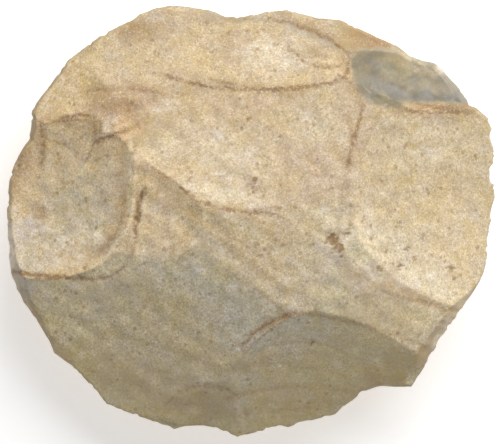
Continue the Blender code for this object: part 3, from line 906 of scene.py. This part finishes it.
def paint(mesh, plan, owners, gaps, fold_brown, inner):
    """Store each point's patina and its marks, as four layers of three channels.

    patina: the scars' colours weighted by ownership, lighter and darker by the marks and the
    ripples, where the light marks are mostly painted light on shaded walls and one dark mark
    is painted shade. stains: brown, pale and cool, a few pale marks being painted light. wear:
    ridge line exp(-gap / height), fresh flint and pits. tint: rosy, slate and crest, where
    slate is a base plus its marks less the glints; one slate mark is painted shade and one
    glint painted light.
    The lower sheet takes fainter stains, mirrored, and has no fresh flint.
    """
    x, y = plan
    tones = []
    for owner, scars in zip(owners, (ALL_UPPER_SCARS, ALL_LOWER_SCARS)):
        colours = np.array([PATINAS[scar[-1]] for scar in scars] + [PATINAS["brown"]])
        tones.append(np.tensordot(owner, colours, axes=(0, 0)))
    line = np.exp(-gaps[0] * UPPER_HEIGHT / LINE_HEIGHT)
    line = line * (LINE_EVERYWHERE + LINE_NAMED * near_places(x, y, LINED_PLACES))
    line = 1.0 - (1.0 - np.clip(line, 0.0, 1.0)) * (1.0 - fold_brown)
    under_line = LINE_BELOW * np.exp(-gaps[1] * LOWER_HEIGHT / LINE_HEIGHT)
    half = (slice(None, None, 2), slice(None, None, 2))
    brown, pale, cool, rosy, straw, light, dark, slate, glint = (
        mark_strengths(x, y, kind) for kind in MARKS
    )
    # light and dark marks: mostly painted light on shaded walls, and painted shade on the far
    # edge's bevel
    painted_light_and_tone = 1.0 + MARK_CONTRAST * (light - dark)
    painted_light_and_tone = painted_light_and_tone + BAND_TONE * ripples(x, y, owners[0], UPPER_SCARS)
    tones[0] = tones[0] * painted_light_and_tone[..., None]
    slate = np.clip(slate + SLATE_BASE - glint, 0.0, 1.0)
    fresh = fresh_chip_mask(x, y) * (1.0 - pale)
    crest = CREST_PALENESS * np.exp(-gaps[0] * UPPER_HEIGHT / CREST_HEIGHT)
    crest = np.maximum(crest, straw)
    pitted = np.minimum(pit_depths(x, y) / PIT_FULL_DEPTH, 1.0)
    bare = 0.0 * fresh[half]

    def both(upper, lower):
        """One channel over all points: the upper sheet's, then the lower sheet's inner ones."""
        return np.concatenate([upper.reshape(-1), lower[inner]])

    def stain(upper):
        """A channel whose lower sheet is a fainter mirror image of the upper one."""
        return both(upper, upper[half][::-1] * STAINS_BELOW)

    layers = {
        "patina": [both(tones[0][..., k], tones[1][..., k]) for k in range(3)],
        "stains": [stain(brown), stain(pale), stain(cool)],
        "wear": [both(line, under_line), both(fresh, bare), both(pitted, bare)],
        "tint": [stain(rosy), both(slate, bare), both(crest, bare)],
    }
    for name, channels in layers.items():
        rgba = np.ones((len(channels[0]), 4), dtype=np.float32)
        rgba[:, :3] = np.stack(channels, axis=-1)
        attribute = mesh.attributes.new(name, "FLOAT_COLOR", "POINT")
        attribute.data.foreach_set("color", rgba.ravel())


class Socket:
    """A number flowing through the material: arithmetic on it adds Math nodes."""

    def __init__(self, finish, source):
        self.finish = finish
        self.source = source

    def math(self, operation, *values):
        """One operation of a Math node on these values."""
        sockets = dict(enumerate(values))
        made = self.finish.node("ShaderNodeMath", {"operation": operation}, sockets)
        return Socket(self.finish, made.outputs[0])

    def __add__(self, other):
        return self.math("ADD", self, other)

    def __radd__(self, other):
        return self.math("ADD", other, self)

    def __sub__(self, other):
        return self.math("SUBTRACT", self, other)

    def __rsub__(self, other):
        return self.math("SUBTRACT", other, self)

    def __mul__(self, other):
        return self.math("MULTIPLY", self, other)

    def __rmul__(self, other):
        return self.math("MULTIPLY", other, self)

    def clamped(self):
        """The number held between 0 and 1."""
        return self.math("MAXIMUM", self.math("MINIMUM", self, 1.0), 0.0)

    def step(self, low, high):
        """0 below low, 1 above high, and smooth between."""
        made = self.finish.node(
            "ShaderNodeMapRange",
            {"interpolation_type": "SMOOTHSTEP"},
            {"Value": self, "From Min": low, "From Max": high},
        )
        return Socket(self.finish, made.outputs["Result"])


class Finish:
    """A material being made."""

    def __init__(self, name):
        self.material = bpy.data.materials.new(name)
        self.material.use_nodes = True
        self.tree = self.material.node_tree
        self.shader = self.tree.nodes["Principled BSDF"]
        place = self.node("ShaderNodeTexCoord", {}, {})
        self.place = place.outputs["Object"]

    def node(self, kind, settings, sockets):
        """Add a node, set it up, then fill its sockets with values or links."""
        made = self.tree.nodes.new(kind)
        for name, value in settings.items():
            setattr(made, name, value)
        for name, value in sockets.items():
            self.fill(made.inputs[name], value)
        return made

    def fill(self, socket, value):
        """Give a socket a value, or link it to where the value comes from."""
        source = value.source if isinstance(value, Socket) else value
        if isinstance(source, bpy.types.NodeSocket):
            self.tree.links.new(source, socket)
        else:
            socket.default_value = source

    def layer(self, name):
        """The three channels of a stored layer, as numbers."""
        stored = self.node("ShaderNodeAttribute", {"attribute_name": name}, {})
        split = self.node("ShaderNodeSeparateColor", {}, {"Color": stored.outputs["Color"]})
        return [Socket(self, split.outputs[k]) for k in range(3)]

    def noise(self, size, detail, roughness, stretch=None):
        """Noise of about 0 to 1 whose lumps are this size in metres, turned and stretched."""
        place = self.place
        if stretch:
            sockets = {"Vector": place, "Rotation": stretch[0], "Scale": stretch[1]}
            place = self.node("ShaderNodeMapping", {}, sockets).outputs["Vector"]
        sockets = {"Vector": place, "Scale": 1.0 / size, "Detail": detail, "Roughness": roughness}
        made = self.node("ShaderNodeTexNoise", {"noise_dimensions": "3D"}, sockets)
        return Socket(self, made.outputs["Fac"])

    def cells(self, size):
        """Distance to the nearest of scattered dots, in shares of their spacing."""
        sockets = {"Vector": self.place, "Scale": 1.0 / size}
        made = self.node("ShaderNodeTexVoronoi", {"feature": "F1"}, sockets)
        return Socket(self, made.outputs["Distance"])

    def mix(self, share, first, second):
        """Blend two colours by a share."""
        made = self.node("ShaderNodeMix", {"data_type": "RGBA"}, {})
        self.fill(made.inputs[0], share)
        self.fill(made.inputs[6], first)
        self.fill(made.inputs[7], second)
        return made.outputs[2]


def blend(name):
    """One of the finish's colours, with its opacity."""
    return (*BLENDS[name], 1.0)


def flint_finish():
    """Weathered flint: patina with blotches, grain, freckles and stains, and one fresh chip.

    Each line mixes one colour over the last by a share that noises and painted layers make.
    The speckle then multiplies the colour, and also drives the bump.
    """
    flint = Finish("weathered_flint")
    # The patina layer also carries the light and dark marks, mostly painted light on shaded walls
    # and painted shade on the far edge's bevel.
    stored = flint.node("ShaderNodeAttribute", {"attribute_name": "patina"}, {})
    brown, pale, cool = flint.layer("stains")
    line, fresh, pitted = flint.layer("wear")
    rosy, slate, crest = flint.layer("tint")

    clouds, blotch, mottle, grain, dust, flecks, streaks, bands, *yellows = (
        flint.noise(*row) for row in NOISES.values()
    )

    # clouds and blotches of the patina
    tone = stored.outputs["Color"]
    tone = flint.mix(clouds.step(0.45, 0.70) * CLOUD_SHARE, tone, blend("warm_cloud"))
    tone = flint.mix(blotch.step(0.50, 0.70) * CLOUD_SHARE, tone, blend("pale_blotch"))
    tone = flint.mix((1.0 - blotch).step(0.52, 0.74) * CLOUD_SHARE, tone, blend("tan_blotch"))

    # painted stains, crests and ridge lines, made ragged by the noises
    tone = flint.mix((rosy * (0.4 + mottle)).clamped(), tone, blend("rosy"))
    tone = flint.mix((cool * (0.3 + 1.2 * blotch)).clamped(), tone, blend("cool"))
    # A few pale marks are painted light on walls that face away from the key light.
    tone = flint.mix((pale * (0.1 + 1.7 * mottle)).clamped(), tone, blend("chalky"))
    tone = flint.mix((brown * (0.1 + 1.7 * mottle)).clamped(), tone, blend("brown"))
    tone = flint.mix(crest, tone, blend("crest"))
    ragged = (line * (0.40 + 1.6 * mottle.step(0.35, 0.62))).clamped()
    tone = flint.mix(ragged * LINE_SHARE, tone, blend("ridge_line"))

    # flecks, streaks, freckles and pinpricks, calmer where the patina is dark
    lively = CALM + (1.0 - CALM) * flint.layer("patina")[0].step(0.50, 0.66)
    pale_flecks = flecks.step(0.54, 0.68) * PALE_FLECK_SHARE * lively
    tone = flint.mix(pale_flecks, tone, blend("pale_fleck"))
    brown_flecks = 0.15 + blotch.step(0.35, 0.60) * BROWN_FLECK_SHARE
    tone = flint.mix((1.0 - flecks).step(0.54, 0.70) * brown_flecks, tone, blend("brown_fleck"))
    streaked = streaks.step(0.50, 0.66) * STREAK_SHARE * (1.15 - lively)
    tone = flint.mix(streaked, tone, blend("streak"))
    freckles = (1.0 - flint.cells(FRECKLE_SPACING)).step(0.74, 0.88) * blotch.step(0.42, 0.56)
    tone = flint.mix(freckles * FRECKLE_SHARE, tone, blend("freckle"))
    pinpricks = (1.0 - flint.cells(PINPRICK_SPACING)).step(0.72, 0.90) * mottle.step(0.45, 0.60)
    tone = flint.mix(pinpricks * PINPRICK_SHARE, tone, blend("pinprick"))

    # fresh flint in the chip, and dark pits
    flint_grey = flint.mix(bands.step(0.30, 0.70), blend("grey_flint"), blend("pale_flint"))
    # The slate at (388, 92) is painted shade over the chip's lit floor, and the glint at (386,
    # 102), which thins the slate, is painted light on the chip's shaded lower wall.
    flint_grey = flint.mix((slate * (0.6 + 0.8 * blotch)).clamped(), flint_grey, blend("slate"))
    tone = flint.mix((fresh * (0.85 + 0.3 * blotch)).clamped(), tone, flint_grey)
    holes = (pitted * (0.5 + mottle)).step(0.06, 0.78)
    tone = flint.mix(holes * PIT_SHARE, tone, blend("pit"))

    # fine speckle of the weathered skin, which also yellows unevenly
    aged = 1.0 - fresh * 0.55
    speckle = (mottle - 0.5) * 0.80 + (grain - 0.5) * 0.75 + (dust - 0.5) * 0.75
    speckle = speckle * aged * lively
    fine, middle, broad = ((wave - 0.5) * share for wave, share in zip(yellows, YELLOWING))
    yellowing = fine + middle + broad
    channels = {
        "X": 1.0 + speckle * 0.85 + yellowing * 0.10,
        "Y": 1.0 + speckle - yellowing * 0.06,
        "Z": 1.0 + speckle * 1.30 - yellowing,
    }
    shade = flint.node("ShaderNodeCombineXYZ", {}, channels).outputs[0]
    shaded = flint.node("ShaderNodeVectorMath", {"operation": "MULTIPLY"}, {0: tone, 1: shade})
    flint.fill(flint.shader.inputs["Base Color"], shaded.outputs[0])

    rough = (0.80 - 0.10 * grain - 0.32 * fresh - 0.08 * ragged).clamped()
    flint.fill(flint.shader.inputs["Roughness"], rough)
    height = (mottle * 0.8 + grain * 0.6 + dust * 0.2) * aged * lively
    sockets = {"Strength": BUMP_STRENGTH, "Distance": BUMP_HEIGHT, "Height": height}
    bump = flint.node("ShaderNodeBump", {}, sockets)
    flint.fill(flint.shader.inputs["Normal"], bump.outputs["Normal"])
    return flint.material


def stone_piece():
    """The stone as one piece that stands for the solid. Returns how its plan was shifted."""
    mesh, shift = build_stone()
    mesh.materials.append(flint_finish())
    piece = bpy.data.objects.new("flint_hand_axe", mesh)
    bpy.context.scene.collection.objects.link(piece)
    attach(piece, "root")
    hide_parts("hand_axe")
    return shift


def floor_stage():
    """A square pale floor that glows a little, so that it stays nearly white."""
    half = FLOOR_HALF
    corners = [(-half, -half, 0), (half, -half, 0), (half, half, 0), (-half, half, 0)]
    mesh = bpy.data.meshes.new("floor")
    mesh.from_pydata(corners, [], [(0, 1, 2, 3)])
    material = bpy.data.materials.new("pale_floor")
    material.use_nodes = True
    shader = material.node_tree.nodes["Principled BSDF"]
    shader.inputs["Base Color"].default_value = (FLOOR_TONE, FLOOR_TONE, FLOOR_TONE, 1.0)
    shader.inputs["Roughness"].default_value = FLOOR_ROUGHNESS
    shader.inputs["Emission Color"].default_value = (1.0, 1.0, 1.0, 1.0)
    shader.inputs["Emission Strength"].default_value = FLOOR_GLOW
    mesh.materials.append(material)
    floor = bpy.data.objects.new("floor", mesh)
    bpy.context.scene.collection.objects.link(floor)


def area_light(name, place, size, power):
    """A square lamp at a place, aimed at the origin."""
    light = bpy.data.lights.new(name, "AREA")
    light.shape = "SQUARE"
    light.size = size
    light.energy = power
    item = bpy.data.objects.new(name, light)
    item.location = place
    aim = -item.location
    item.rotation_euler = aim.to_track_quat("-Z", "Y").to_euler()
    bpy.context.scene.collection.objects.link(item)


def studio():
    """One large soft key from the far right, as in the photo, and an even pale surround."""
    turn, lift = math.radians(KEY_BEARING), math.radians(KEY_ELEVATION)
    place = Vector(
        (math.cos(turn) * math.cos(lift), math.sin(turn) * math.cos(lift), math.sin(lift))
    )
    area_light("key", place * KEY_DISTANCE, KEY_SIZE, KEY_POWER)
    world = bpy.data.worlds.new("studio_world")
    world.use_nodes = True
    surround = world.node_tree.nodes["Background"]
    surround.inputs["Color"].default_value = (1.0, 1.0, 1.0, 1.0)
    surround.inputs["Strength"].default_value = SURROUND_STRENGTH
    bpy.context.scene.world = world
    bpy.context.scene.view_settings.view_transform = "Standard"


def camera(shift):
    """Long lens straight above the middle of the photo's frame."""
    frame_width = PHOTO_WIDTH * LENGTH / 2 / PHOTO_HALF[0]
    lens = bpy.data.cameras.new("camera")
    lens.sensor_width = FILM_WIDTH
    lens.lens = lens.sensor_width * CAMERA_DISTANCE / frame_width
    lens.clip_start, lens.clip_end = CLIP_RANGE
    item = bpy.data.objects.new("camera", lens)
    item.location = Vector(shift) + Vector((0.0, 0.0, CAMERA_DISTANCE))
    bpy.context.scene.collection.objects.link(item)
    bpy.context.scene.camera = item


shift = stone_piece()
floor_stage()
studio()
camera(shift)
